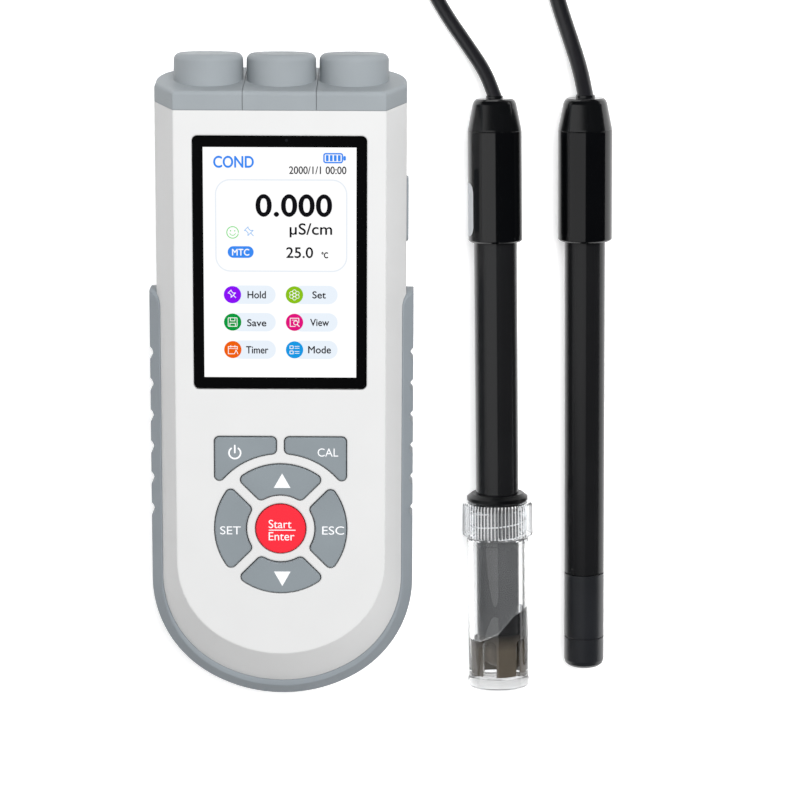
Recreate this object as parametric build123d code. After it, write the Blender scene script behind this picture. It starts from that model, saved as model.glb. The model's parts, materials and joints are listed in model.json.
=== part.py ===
from build123d import *
from math import atan2, cos, degrees, hypot, pi, radians, sin, sqrt, tan
import os

# A handheld water quality meter with two electrodes on leads, laid out on a bench.
# Millimetres. The origin is the centre of the meter's flat back, +Z is out of its face,
# +Y is towards its sockets and +X is to the right of the display.

# ---------------------------------------------------------------- meter, driving dimensions
Z_FACE = 32.0           # thickness, back to face
Z_SHOULDER = 21.5       # where the bevel round the face begins
Z_PART = 16.0           # parting line of the two shells
BODY_HALF = 36.6        # half width of the body
BODY_CORNER_R = 32.0    # the lower end is an arch of three arcs
BODY_LOW_R = 41.0
BODY_Y_LOW = -89.6
FACE_HALF = 30.6        # half width of the flat face
FACE_CORNER_R = 27.0
FACE_LOW_R = 34.0
FACE_Y_LOW = -76.6
BACK_R = 15.0           # rounding between the back and the sides
WALL = 2.2              # shell thickness
RUN = 0.05              # running clearance of what turns or slides
END_Y = 84.0            # the socket end, measured at the face
END_SLOPE = tan(radians(9.0))   # the socket end leans back by 9 degrees
FAR = 130.0             # beyond everything on the meter

LENS_HALF = 25.2        # display window
LENS_Y = (2.95, 76.85)
LENS_THICK = 1.3
LENS_R = 1.6

KEY_TRAVEL = 0.7
KEY_TOP = Z_FACE + 0.7
KEY_GAP = 0.3           # round each key in the face
PAD_Y = -38.6           # centre of the round keypad
START_R = 7.3
RING_IN_R = 10.2
RING_OUT_R = 19.3
RING_APEX = 2.4         # the channels between the ring's keys have parallel sides
UPPER_KEY_X = (1.3, 19.2)
UPPER_KEY_TOP = -11.2
UPPER_KEY_ARC = 22.6    # concave edge, about the keypad centre

BOSS_PITCH = 21.2       # socket caps
BOSS_R = 10.1
BOSS_TOP = 99.5
CAP_PLATE = 5.4
CAP_SPLIT = BOSS_PITCH / 2

BARREL_R = 4.8          # a socket's outer barrel
BARREL_TOP = 94.5
SOCKET_BORE = 4.1
NUT_R = 6.8             # its nut, which the rubber cap grips
NUT_TOP = 88.4
SOCKET_BODY_R = 4.0
LUG_Y = (89.4, 91.0)      # the bayonet lugs, below the barrel's free end
PANEL_Y = (81.4, 83.4)

BUMPER_OUT = 2.2        # how far the rubber stands out of the body
BUMPER_TOP_Y = 30.6
BUMPER_Z = (7.2, 23.6)
NOTCH_R = 2.2
NOTCH_DEEP = 1.0
NOTCH_FIRST_Y = 11.8
NOTCH_PITCH = 9.4
NOTCHES = 6

BAY_HALF = 17.6         # battery bay in the back, for three AAA cells
BAY_Y = (-61.5, -10.0)
BAY_TOP = 13.4
DOOR_HALF = 19.4
DOOR_Y = (-63.6, -1.4)
DOOR_THICK = 1.5
DOOR_SEAL = 0.6
DOOR_SCREWS = [(-12.0, -5.4), (12.0, -5.4)]
CELL_R = 5.2
CELL_LONG = 43.5
CELL_NUB = 1.0
CELL_PITCH = 11.6

BOARD_Z = (23.2, 24.8)
CASE_SCREWS = [(-31.0, 72.0), (31.0, 72.0), (-31.0, -50.0), (31.0, -50.0)]

PORT_Y = (45.0, 63.5)   # rubber cover of the charging port, on the right side
PORT_Z = (9.5, 21.0)
PORT_X = (35.65, 37.2)
PORT_BEAD_R = 0.5       # the bead along its lower edge, which it turns about

# ---------------------------------------------------------------- electrodes
# Each electrode is drawn along its own axis, +Y towards its lead, and then laid on the bench.
SHAFT_BORE = 4.9
STEM_R = 3.4            # glass stem
HANDLE_R = 8.05
HANDLE_Y = (43.7, 76.5)
SPIGOT = 0.5            # a shaft necks down by this where the handle is glued on
END_CAP_Y = 85.85
GLAND_Y = 86.75

PH_X = 63.77            # where its axis crosses Y = 0
PH_YAW = 0.98
PH_SHAFT_R = 6.4
PH_TIP = -88.0
RING_Y = (-34.6, -32.1)
RING_R = 9.15
STORE_CAP_R = 10.6
STORE_CAP_Y = (-45.1, -34.7)
NECK_R = 8.7
BOTTLE_R = 9.1
BOTTLE_BORE = 7.6
BOTTLE_LOW = -91.6
BOTTLE_FLOOR = -88.7
SOLUTION_Y = -65.0

DO_X = 90.28
DO_Y = 0.43             # it lies that much further up than the other
DO_YAW = 0.85
DO_SHAFT_R = 6.0
DO_TIP = -87.4
DO_SLEEVE_Y = -57.9
DO_GROOVE_Y = -77.9
GROOVE = 0.4
DO_BORE = 4.4
SLEEVE_BORE = 4.9

# ---------------------------------------------------------------- leads
PH_LEAD_D = 4.1
DO_LEAD_D = 4.7
PH_ROUTE = [(62.29, 86.72, 7.82), (59.6, 93.6, 5.9), (54.2, 101.4, 3.3), (47.6, 110.6, 2.1),
            (41.6, 121.6, 2.5), (38.4, 134.6, 2.1), (37.6, 148.5, 2.05)]
DO_ROUTE = [(88.99, 87.16, 8.72), (87.6, 94.2, 6.1), (85.0, 102.3, 3.4), (81.7, 111.6, 2.4),
            (78.4, 122.4, 2.9), (76.0, 135.8, 2.4), (75.2, 150.0, 2.35)]
PH_COIL_AT = (10.8, 150.0)
DO_COIL_AT = (105.8, 151.5)
PH_COIL_RADII = (14.5, 26.8)        # centre line of its innermost and outermost turn
DO_COIL_RADII = (16.5, 30.6)
PH_PLUG_AT = (-8.0, 176.8, 7.2)
DO_PLUG_AT = (124.6, 182.1, 7.6)

nodes = {}


# ---------------------------------------------------------------- small helpers
def rod(r, y0, y1, x=0.0, z=0.0):
    """A cylinder along Y."""
    return extrude(Plane((x, y0, z), z_dir=(0, 1, 0)) * Circle(r), amount=y1 - y0)


def post(r, z0, z1, x=0.0, y=0.0):
    """A cylinder along Z."""
    return extrude(Plane((x, y, z0)) * Circle(r), amount=z1 - z0)


def block(x, y, z):
    """A box from pairs of low and high values."""
    size = [high - low for low, high in (x, y, z)]
    centre = [(high + low) / 2 for low, high in (x, y, z)]
    return Pos(*centre) * Box(*size)


def turned(*points):
    """The solid of a profile of (radius, y) points, turned about the Y axis."""
    profile = make_face(Polyline(*[(r, y, 0) for r, y in points], close=True))
    return revolve(profile, axis=Axis.Y)


def rounded_slab(half, y, z, r):
    """A rectangular slab centred on X = 0, with rounded corners."""
    sheet = RectangleRounded(2 * half, y[1] - y[0], r)
    return extrude(Pos(0, (y[0] + y[1]) / 2, z[0]) * sheet, amount=z[1] - z[0])


# ---------------------------------------------------------------- meter outline
def arch(half, corner_r, low_r, y_low, y_top):
    """Straight sides closed below by a corner arc, a low arc and a corner arc, all tangent."""
    corner_x = half - corner_r
    low_centre = y_low + low_r
    corner_y = low_centre - sqrt((low_r - corner_r) ** 2 - corner_x ** 2)
    turn = atan2(corner_y - low_centre, corner_x)
    joint = (low_r * cos(turn), low_centre + low_r * sin(turn))
    middle = (corner_x + corner_r * cos(turn / 2), corner_y + corner_r * sin(turn / 2))
    return make_face([
        Line((-half, y_top), (-half, corner_y)),
        ThreePointArc((-half, corner_y), (-middle[0], middle[1]), (-joint[0], joint[1])),
        ThreePointArc((-joint[0], joint[1]), (0, y_low), joint),
        ThreePointArc(joint, middle, (half, corner_y)),
        Line((half, corner_y), (half, y_top)),
        Line((half, y_top), (-half, y_top)),
    ])


def body_outline(inset, y_top=FAR):
    return arch(BODY_HALF - inset, BODY_CORNER_R - inset, BODY_LOW_R - inset,
                BODY_Y_LOW + inset, y_top)


def face_outline(inset):
    """The top outline of the bevel; an inset one follows the inner side of the bevelled wall."""
    rise = Z_FACE - Z_SHOULDER
    side_run = BODY_HALF - FACE_HALF
    low_run = FACE_Y_LOW - BODY_Y_LOW
    side = inset * (hypot(side_run, rise) - side_run) / rise
    low = inset * (hypot(low_run, rise) - low_run) / rise
    return arch(FACE_HALF - side, FACE_CORNER_R - side, FACE_LOW_R - low, FACE_Y_LOW + low, FAR)


def meter_blank(inset):
    """The whole body, or its inside, running past the socket end."""
    shoulder = Z_SHOULDER - 0.4 * inset
    back = extrude(Pos(0, 0, inset) * body_outline(inset), amount=shoulder - inset)
    edges = back.edges().filter_by_position(Axis.Z, inset - 0.01, inset + 0.01)
    back = fillet(edges.sort_by(Axis.Y)[:-1], BACK_R - inset)
    bevel = loft([Pos(0, 0, shoulder) * body_outline(inset),
                  Pos(0, 0, Z_FACE - inset) * face_outline(inset)], ruled=True)
    return back + bevel


def past_end(y_face):
    """Everything beyond the sloping plane that meets the face's level at y_face."""
    low, high = -5.0, 45.0
    side = Polyline((y_face + (Z_FACE - low) * END_SLOPE, low),
                    (FAR + 40, low),
                    (FAR + 40, high),
                    (y_face + (Z_FACE - high) * END_SLOPE, high), close=True)
    return extrude(Plane.YZ * make_face(side), amount=60, both=True)


def above(z):
    return block((-60, 60), (-120, FAR + 20), (z, 60))


# ---------------------------------------------------------------- keys
def ring_key(turn):
    """One of the four keys of the ring, centred on the given direction."""
    reach = 2 * RING_OUT_R
    quarter = make_face(Polyline((RING_APEX, 0), (reach, reach - RING_APEX),
                                 (reach, RING_APEX - reach), close=True))
    outline = (Circle(RING_OUT_R) - Circle(RING_IN_R)) & (Rot(0, 0, turn) * quarter)
    return fillet(outline.vertices(), 1.5)


def upper_key(side):
    """The key above the ring on the left (-1) or right (1), with a concave lower edge."""
    low, high = UPPER_KEY_X
    top = UPPER_KEY_TOP - PAD_Y
    plate = Pos(side * (low + high) / 2, top - 9) * Rectangle(high - low, 18)
    outline = plate - Circle(UPPER_KEY_ARC)
    return fillet(outline.vertices(), 1.3)


KEYS = {
    "key_power": upper_key(-1),
    "key_cal": upper_key(1),
    "key_up": ring_key(90),
    "key_down": ring_key(270),
    "key_set": ring_key(180),
    "key_escape": ring_key(0),
    "key_start": Circle(START_R),
}
KEY_UNDER = 28.5        # bottom of a key's flange
KEY_FLANGE_TOP = Z_FACE - WALL - 0.1


def keys():
    for name, outline in KEYS.items():
        here = Pos(0, PAD_Y, KEY_UNDER)
        cap = extrude(here * outline, amount=KEY_TOP - KEY_UNDER)
        cap = chamfer(cap.faces().sort_by(Axis.Z)[-1].edges(), 0.3)
        flange = extrude(here * offset(outline, amount=0.9), amount=KEY_FLANGE_TOP - KEY_UNDER)
        nodes[name] = cap + flange


def keypad_mat():
    """The silicone sheet under the keys, with a dome under each one."""
    mat = block((-24, 24), (-62, -8.5), (BOARD_Z[1], BOARD_Z[1] + 1.5))
    dome_top = KEY_UNDER - KEY_TRAVEL - 0.05
    places = [(0, PAD_Y), (-10.6, -17.0), (10.6, -17.0)]
    places += [(14.8 * cos(radians(a)), PAD_Y + 14.8 * sin(radians(a))) for a in (0, 90, 180, 270)]
    for x, y in places:
        mat += post(3.2, BOARD_Z[1] + 1.5, dome_top, x, y)
    nodes["keypad_mat"] = mat


# ---------------------------------------------------------------- shells
def seal_solid():
    """The rubber cord in the parting line, along both sides and round the lower end."""
    ring = body_outline(0.8, PANEL_Y[0]) - body_outline(1.5, FAR)
    return extrude(Pos(0, 0, Z_PART - 0.7) * ring, amount=1.4)


def port_hole():
    """Through the right side: a shallow seat for the rubber cover and a smaller opening."""
    seat = block((PORT_X[0] - 0.05, 45), (PORT_Y[0] - 0.2, PORT_Y[1] + 0.2),
                 (PORT_Z[0] - 0.2, PORT_Z[1] + 0.2))
    return seat + block((30, 45), (48, 62), (11, 19.5))


def front_shell(outer, inner):
    shell = (outer - inner) & above(Z_PART)
    for x, y in CASE_SCREWS:
        reach = 5.0 if x > 0 else -5.0
        lug = post(3.3, Z_PART, 22.0, x, y)
        lug += block(sorted((x, x + reach)), (y - 2, y + 2), (Z_PART, 21.0))
        shell += lug & outer
        shell -= post(1.5, Z_PART, 21.0, x, y)
    shell -= rounded_slab(LENS_HALF, LENS_Y, (Z_FACE - LENS_THICK, Z_FACE + 1), LENS_R)
    shell -= rounded_slab(LENS_HALF - 2, (LENS_Y[0] + 2, LENS_Y[1] - 2), (20, Z_FACE), LENS_R)
    for outline in KEYS.values():
        hole = offset(outline, amount=KEY_GAP)
        shell -= extrude(Pos(0, PAD_Y, Z_FACE - WALL - 1) * hole, amount=WALL + 3)
    shell -= seal_solid()
    shell -= port_hole()
    nodes["front_shell"] = shell - past_end(END_Y)


def rear_shell(outer, inner):
    shell = (outer - inner) - above(Z_PART)
    wall = 1.6
    shell += block((-BAY_HALF - wall, BAY_HALF + wall), (BAY_Y[0] - wall, BAY_Y[1] + wall),
                   (0.5, BAY_TOP + wall))
    shell -= block((-BAY_HALF, BAY_HALF), BAY_Y, (-1, BAY_TOP))
    shell -= block((-DOOR_HALF - 0.1, DOOR_HALF + 0.1), (DOOR_Y[0] - 0.1, DOOR_Y[1] + 0.1),
                   (-1, DOOR_THICK + DOOR_SEAL))
    for x, y in DOOR_SCREWS:
        shell += post(3.4, DOOR_THICK + DOOR_SEAL, 12.0, x, y)
        shell -= post(1.5, -1, 10.5, x, y)
    for x, y in CASE_SCREWS:
        shell += post(4.6, 4.0, Z_PART, x, y) & outer
        shell -= post(3.2, -1, 8.0, x, y)
        shell -= post(1.5, 7.0, Z_PART + 1, x, y)
    shell -= seal_solid()
    shell -= port_hole()
    nodes["rear_shell"] = shell - past_end(END_Y)


def bumper(outer):
    """The ribbed rubber that wraps both sides and the lower end."""
    levels = [(BUMPER_Z[0], -1.7), (11.5, BUMPER_OUT), (20.8, BUMPER_OUT), (BUMPER_Z[1], -0.75)]
    band = Part()
    for (z0, grow0), (z1, grow1) in zip(levels, levels[1:]):
        band += loft([Pos(0, 0, z0) * body_outline(-grow0, BUMPER_TOP_Y),
                      Pos(0, 0, z1) * body_outline(-grow1, BUMPER_TOP_Y)], ruled=True)
    tall = BUMPER_Z[1] - BUMPER_Z[0]
    side = Pos(BUMPER_TOP_Y - 75, (BUMPER_Z[0] + BUMPER_Z[1]) / 2) * RectangleRounded(150, tall, 5)
    band = band & extrude(Plane.YZ * side, amount=60, both=True)
    band -= outer
    x = BODY_HALF + BUMPER_OUT + NOTCH_R - NOTCH_DEEP
    for i in range(NOTCHES):
        for side_x in (-x, x):
            band -= post(NOTCH_R, 9.0, 22.5, side_x, NOTCH_FIRST_Y - i * NOTCH_PITCH)
    nodes["bumper"] = band


def case_screws():
    screws = [post(2.8, 4.6, 8.0, x, y) + post(1.45, 8.0, 20.5, x, y) for x, y in CASE_SCREWS]
    nodes["case_screws"] = Part() + screws


# ---------------------------------------------------------------- inside the meter
def display():
    nodes["display_lens"] = rounded_slab(LENS_HALF - 0.05, (LENS_Y[0] + 0.05, LENS_Y[1] - 0.05),
                                         (Z_FACE - LENS_THICK, Z_FACE), LENS_R)
    frame = block((-24.6, 24.6), (4.4, 76.2), (BOARD_Z[1], Z_FACE - WALL - 0.05))
    glass = block((-22.2, 22.2), (6.4, 74.2), (Z_FACE - WALL - 0.05, Z_FACE - LENS_THICK - 0.05))
    nodes["display_module"] = frame + glass


def main_board():
    board = block((-26, 26), (-68, 79), BOARD_Z)
    board = chamfer(board.edges().filter_by(Axis.Z).sort_by(Axis.Y)[:2], 9)
    components = [((-8, 6), (20, 34), 2.0), ((-20, -12), (30, 40), 1.5), ((12, 20), (8, 14), 3.0),
                  ((-16, 16), (70, 76), 3.2)]
    for x, y, tall in components:
        board += block(x, y, (BOARD_Z[0] - tall, BOARD_Z[0]))
    nodes["main_board"] = board


def charging_port():
    shell = block((27.5, 32.9), (51.0, 59.0), (13.8, 17.2)) - block((29, 34), (52, 58), (14.6, 16.4))
    nodes["charging_port"] = shell + block((22, 29), (51, 59), (17.2, BOARD_Z[0]))


def batteries():
    """Three cells, every second one turned round, between spring contacts."""
    low, high = BAY_Y
    y0 = (low + high - CELL_LONG) / 2
    y1 = y0 + CELL_LONG
    z = DOOR_THICK + 0.9 + CELL_R
    contacts = []
    for i, x in enumerate((-CELL_PITCH, 0.0, CELL_PITCH)):
        upright = i % 2 == 0
        nub = (y1, y1 + CELL_NUB) if upright else (y0 - CELL_NUB, y0)
        nodes[f"battery_{i + 1}"] = rod(CELL_R, y0, y1, x, z) + rod(1.9, *nub, x, z)
        low_end = y0 if upright else y0 - CELL_NUB
        high_end = y1 + CELL_NUB if upright else y1
        plate = ((x - 4.5, x + 4.5), (z - 4.5, z + 4.5))
        sheet = 0.4
        contacts.append(block(plate[0], (low, low + sheet), plate[1])
                        + rod(2.6, low + sheet, low_end, x, z))
        contacts.append(block(plate[0], (high - sheet, high), plate[1])
                        + rod(2.6, high_end, high - sheet, x, z))
    nodes["battery_contacts"] = Part() + contacts


def battery_door(outer):
    """The door, its rubber seal and its two captive screws."""
    door = rounded_slab(DOOR_HALF, DOOR_Y, (0, DOOR_THICK), 0.8) & outer
    under = (DOOR_THICK, DOOR_THICK + DOOR_SEAL)
    seal = block((-DOOR_HALF, DOOR_HALF), (DOOR_Y[0], BAY_Y[1] + 1.6), under)
    seal -= block((-BAY_HALF, BAY_HALF), BAY_Y, under)
    for x, y in DOOR_SCREWS:
        door -= post(2.65, -1, 0.95, x, y) + post(1.5, 0, DOOR_THICK, x, y)
    nodes["battery_door"] = door
    nodes["door_seal"] = seal
    screws = [post(2.6, 0.05, 0.95, x, y) + post(1.45, 0.95, 9.0, x, y) for x, y in DOOR_SCREWS]
    nodes["door_screws"] = Part() + screws


def socket_panel(inner):
    panel = inner & block((-60, 60), PANEL_Y, (0, 40))
    for x in (-BOSS_PITCH, 0, BOSS_PITCH):
        panel -= rod(SOCKET_BODY_R, 80, 85, x, Z_PART)
    nodes["socket_panel"] = panel


def socket_body(x):
    """The barrel of a socket, with its nut outside the panel and its flange inside."""
    body = rod(SOCKET_BODY_R, 77.5, NUT_TOP, x, Z_PART) + rod(6.4, 79.2, PANEL_Y[0], x, Z_PART)
    body += rod(NUT_R, PANEL_Y[1], NUT_TOP, x, Z_PART)
    return body + rod(BARREL_R, NUT_TOP, BARREL_TOP, x, Z_PART)


def coax_socket(x):
    """A bayonet socket for an electrode's signal: two lugs, and a groove beyond them."""
    body = socket_body(x) + block((x - 5.8, x + 5.8), LUG_Y, (Z_PART - 0.8, Z_PART + 0.8))
    low, high = LUG_Y[1], LUG_Y[1] + 0.7
    body -= rod(BARREL_R, low, high, x, Z_PART) - rod(4.5, low, high, x, Z_PART)
    return body - rod(SOCKET_BORE, 86.0, BARREL_TOP, x, Z_PART)


def coax_contact(x):
    """The insulator and the pin in the middle of a bayonet socket."""
    return rod(2.3, 86.0, 92.0, x, Z_PART) + rod(0.7, 92.0, 93.6, x, Z_PART)


def round_contacts(x):
    """The five pins of the round socket, on their insulator."""
    pins = rod(SOCKET_BORE, 86.0, 87.0, x, Z_PART)
    for i in range(5):
        turn = radians(90 + 72 * i)
        pins += rod(0.5, 87.0, 92.5, x + 2.3 * cos(turn), Z_PART + 2.3 * sin(turn))
    return pins


def socket_caps(outer):
    """Three rubber caps side by side: a share of the end plate and a hollow boss each."""
    plate = outer & (past_end(END_Y) - past_end(END_Y + CAP_PLATE))
    plate = fillet(plate.faces().sort_by(Axis.Y)[-1].edges(), 1.3)
    gap = 0.05
    for name, i in (("cap_left", -1), ("cap_middle", 0), ("cap_right", 1)):
        x = i * BOSS_PITCH
        share = (-60 if i < 0 else x - CAP_SPLIT + gap, 60 if i > 0 else x + CAP_SPLIT - gap)
        cap = plate & block(share, (70, FAR), (-1, 40))
        boss = rod(BOSS_R, END_Y + 2, BOSS_TOP, x, Z_PART)
        boss = fillet(boss.faces().sort_by(Axis.Y)[-1].edges(), 2.0)
        cap += (boss & past_end(END_Y)) & block(share, (70, FAR), (-1, 40))
        cap -= rod(NUT_R + RUN, 80, BOSS_TOP - 2.4, x, Z_PART)
        cap -= rod(8.2, NUT_TOP + 0.5, BOSS_TOP - 2.4, x, Z_PART)
        nodes[name] = cap


def port_cover():
    cover = block(PORT_X, PORT_Y, PORT_Z)
    cover = fillet(cover.edges().filter_by(Axis.X), 2.2)
    cover = fillet(cover.faces().sort_by(Axis.X)[-1].edges(), 0.5)
    bead = rod(PORT_BEAD_R, PORT_Y[0] + 3, PORT_Y[1] - 3, PORT_X[1] - PORT_BEAD_R, PORT_Z[0])
    nodes["port_cover"] = cover + bead + block((33.2, PORT_X[0]), (49.5, 59.5), (11.3, 18.6))


# ---------------------------------------------------------------- electrodes
def slot(tip, root, r, turn):
    """A cut right through a tube's end, with a round top, turned about the Y axis."""
    bar = block((-20, 20), (tip - 5, root), (-r, r))
    arch_top = extrude(Plane((-20, root, 0), z_dir=(1, 0, 0)) * Circle(r), amount=40)
    return Rot(0, turn, 0) * (bar + arch_top)


def handle(shaft_r, lead_d):
    """Handle tube, and the tapered cap with the lead's gland at its end."""
    low, high = HANDLE_Y
    bore = shaft_r - SPIGOT
    r = HANDLE_R
    tube = turned((bore, low), (r - 0.5, low), (r, low + 0.5), (r, high - 0.15),
                  (r - 0.15, high), (bore, high))
    gland = lead_d / 2 + 0.5
    cap = turned((0, high - 8), (bore, high - 8), (bore, high), (r - 0.1, high),
                 (r - 0.1, high + 0.4), (6.45, END_CAP_Y - 1.4), (6.0, END_CAP_Y - 0.5),
                 (5.4, END_CAP_Y), (gland, END_CAP_Y), (gland, GLAND_Y), (0, GLAND_Y))
    return tube, cap


def ph_electrode():
    """A glass bulb electrode: tube with four prongs at its tip, glass, junction and rubber ring."""
    tube, cap = handle(PH_SHAFT_R, PH_LEAD_D)
    shaft = rod(PH_SHAFT_R, PH_TIP, HANDLE_Y[0]) + rod(PH_SHAFT_R - SPIGOT, HANDLE_Y[0], 60)
    shaft -= rod(SHAFT_BORE, PH_TIP - 1, 56)
    for turn in (65, 155):
        shaft -= slot(PH_TIP, -78.6, 2.0, turn)
    ring = turned((PH_SHAFT_R, RING_Y[0]), (RING_R - 0.4, RING_Y[0]), (RING_R, RING_Y[0] + 0.5),
                  (RING_R, RING_Y[1] - 1.1), (RING_R - 1.4, RING_Y[1]), (PH_SHAFT_R, RING_Y[1]))
    return {
        "ph_handle": tube,
        "ph_end_cap": cap,
        "ph_shaft": shaft,
        "ph_glass": rod(STEM_R, -79.2, 50) + Pos(0, -81.6, 0) * Sphere(3.9),
        "ph_junction": rod(SHAFT_BORE, -76.3, -69.3) - rod(STEM_R, -77, -69),
        "ph_ring": ring,
    }


def storage_bottle():
    """The clear bottle that keeps the glass bulb wet, and the ribbed cap that clamps it."""
    low, high = STORE_CAP_Y
    web = high - 2.2
    hole = PH_SHAFT_R + RUN
    skirt = NECK_R + RUN
    cap = turned((hole, web), (hole, high), (STORE_CAP_R - 0.8, high), (STORE_CAP_R, high - 0.8),
                 (STORE_CAP_R, low), (skirt, low), (skirt, web))
    lip = BOTTLE_R + 0.2
    bottle = turned((0, BOTTLE_LOW), (BOTTLE_R - 0.3, BOTTLE_LOW), (lip, BOTTLE_LOW + 0.5),
                    (lip, BOTTLE_FLOOR - 0.3), (BOTTLE_R, BOTTLE_FLOOR), (BOTTLE_R, low - 1.6),
                    (lip, low - 1.4), (lip, low - 0.1), (NECK_R, low - 0.1), (NECK_R, web - 0.1),
                    (BOTTLE_BORE, web - 0.1), (BOTTLE_BORE, BOTTLE_FLOOR), (0, BOTTLE_FLOOR))
    clear = PH_SHAFT_R + 0.1
    solution = turned((0, BOTTLE_FLOOR), (BOTTLE_BORE, BOTTLE_FLOOR), (BOTTLE_BORE, SOLUTION_Y),
                      (clear, SOLUTION_Y), (clear, PH_TIP - 0.1), (0, PH_TIP - 0.1))
    return {"storage_cap": cap, "storage_bottle": bottle, "storage_solution": solution}


def oxygen_electrode():
    """A rod electrode whose membrane cap, a sleeve and a tip, comes off over the inner stem."""
    tube, cap = handle(DO_SHAFT_R, DO_LEAD_D)
    half = GROOVE / 2
    stem_top = -45.0
    collar = SLEEVE_BORE - RUN
    shaft_low = DO_SLEEVE_Y + half
    stem = turned((0, -84.6), (3.0, -84.6), (3.6, -84.0), (3.6, -66.0), (collar, -66.0),
                  (collar, shaft_low), (DO_BORE, shaft_low), (DO_BORE, stem_top), (0, stem_top))
    sleeve = rod(DO_SHAFT_R, DO_GROOVE_Y + half, DO_SLEEVE_Y - half)
    sleeve -= rod(SLEEVE_BORE, DO_GROOVE_Y, DO_SLEEVE_Y)
    shaft = rod(DO_SHAFT_R, shaft_low, HANDLE_Y[0]) + rod(DO_SHAFT_R - SPIGOT, HANDLE_Y[0], 60)
    neck = DO_SHAFT_R - 0.4
    inside = DO_TIP + 2.0
    tip = turned((0, DO_TIP), (3.6, DO_TIP), (4.9, DO_TIP + 0.35), (5.7, DO_TIP + 1.1),
                 (DO_SHAFT_R, DO_TIP + 2.2), (DO_SHAFT_R, DO_GROOVE_Y - half),
                 (neck, DO_GROOVE_Y - half), (neck, DO_GROOVE_Y + half),
                 (SLEEVE_BORE, DO_GROOVE_Y + half), (SLEEVE_BORE, inside), (0, inside))
    return {
        "do_handle": tube,
        "do_end_cap": cap,
        "do_shaft": shaft - rod(DO_BORE, shaft_low - 1, 56),
        "do_stem": stem,
        "do_sleeve": sleeve,
        "do_membrane_tip": tip,
    }


def lay_down(solids, x, y, yaw, low_rim, high_rim):
    """Rests an electrode on the bench on two of its rims, each a (y, radius)."""
    pitch = atan2(high_rim[1] - low_rim[1], high_rim[0] - low_rim[0])
    z = low_rim[1] * cos(pitch) - low_rim[0] * sin(pitch)
    where = Pos(x, y, z) * Rot(0, 0, yaw) * Rot(degrees(pitch), 0, 0)
    for name, solid in solids.items():
        nodes[name] = where * solid


# ---------------------------------------------------------------- leads and plugs
def tube(points, diameter):
    """A lead's free stretch: straight runs joined by arcs as large as the runs allow."""
    at = [Vector(*p) for p in points]
    radii = []
    for before, here, after in zip(at, at[1:], at[2:]):
        turn = (here - before).get_angle(after - here)
        run = min((here - before).length, (after - here).length)
        radii.append(0.45 * run / tan(radians(turn) / 2))
    path = FilletPolyline(*at, radius=radii)
    solid = sweep(Plane(at[0], z_dir=at[1] - at[0]) * Circle(diameter / 2), path=path)
    ideal = pi * diameter ** 2 / 4 * path.length
    print(f"lead {diameter}: {path.length:.1f} mm, tightest bend {min(radii):.1f} mm,"
          f" volume {solid.volume / ideal:.4f} of its section times its length")
    return solid


def coil(at, radii, diameter):
    """The outer shape of two layers of turns lying on each other."""
    ring = Circle(radii[-1] + diameter / 2) - Circle(radii[0] - diameter / 2)
    return extrude(Pos(at[0], at[1], 0) * ring, amount=2 * diameter)


def plug_boot(diameter, r):
    return turned((0, 0), (diameter / 2 + 0.5, 0), (r, 14), (0, 14))


def coax_plug():
    """Along +Y from the lead: tapered boot, body, and the sleeve and pin inside the ring."""
    body = plug_boot(PH_LEAD_D, 4.4) + rod(5.6, 14, 24) + rod(4.7, 24, 27) + rod(4.0, 27, 35)
    body -= rod(3.2, 28, 36)
    body += rod(0.65, 28, 34)
    ring = rod(7.2, 24.1, 36.5) - rod(4.75, 24, 27.2) - rod(5.0, 27, 38)
    return body, ring


def pin_plug():
    body = plug_boot(DO_LEAD_D, 4.6) + rod(6.2, 14, 27) + rod(4.7, 27, 30) + rod(3.9, 30, 37)
    for i in range(5):
        turn = radians(90 + 72 * i)
        body -= rod(0.6, 31, 38, 2.3 * cos(turn), 2.3 * sin(turn))
    ring = rod(7.6, 27.1, 38.5) - rod(4.75, 27, 30.2) - rod(5.0, 30, 40)
    return body, ring


def lead(name, diameter, route, coil_at, radii, plug_at, facing, plug):
    """A lead from its electrode to a coil, and on to the plug that lies beside the coil."""
    nodes[f"{name}_lead"] = tube(route, diameter)
    nodes[f"{name}_coil"] = coil(coil_at, radii, diameter)
    layer = 1.5 * diameter - 0.1
    leaves = (coil_at[0], coil_at[1] + radii[-1], layer)
    middle = ((leaves[0] + plug_at[0]) / 2, leaves[1] + 0.2, layer + 0.3)
    nodes[f"{name}_tail"] = tube([leaves, middle, plug_at], diameter)
    body, ring = plug
    where = Pos(*plug_at) * Rot(0, 0, facing)
    nodes[f"{name}_plug"] = where * body
    nodes[f"{name}_plug_ring"] = where * ring


def meter():
    outer = meter_blank(0)
    inner = meter_blank(WALL)
    front_shell(outer, inner)
    rear_shell(outer, inner)
    nodes["shell_seal"] = seal_solid() - port_hole()
    bumper(outer)
    case_screws()
    display()
    keypad_mat()
    main_board()
    charging_port()
    batteries()
    battery_door(outer)
    socket_panel(inner)
    nodes["socket_ph"] = coax_socket(-BOSS_PITCH)
    nodes["socket_orp"] = coax_socket(0)
    oxygen_bore = rod(SOCKET_BORE, 86.0, BARREL_TOP, BOSS_PITCH, Z_PART)
    nodes["socket_oxygen"] = socket_body(BOSS_PITCH) - oxygen_bore
    contacts = [coax_contact(-BOSS_PITCH), coax_contact(0), round_contacts(BOSS_PITCH)]
    nodes["socket_contacts"] = Part() + contacts
    keys()
    socket_caps(outer)
    port_cover()


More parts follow.
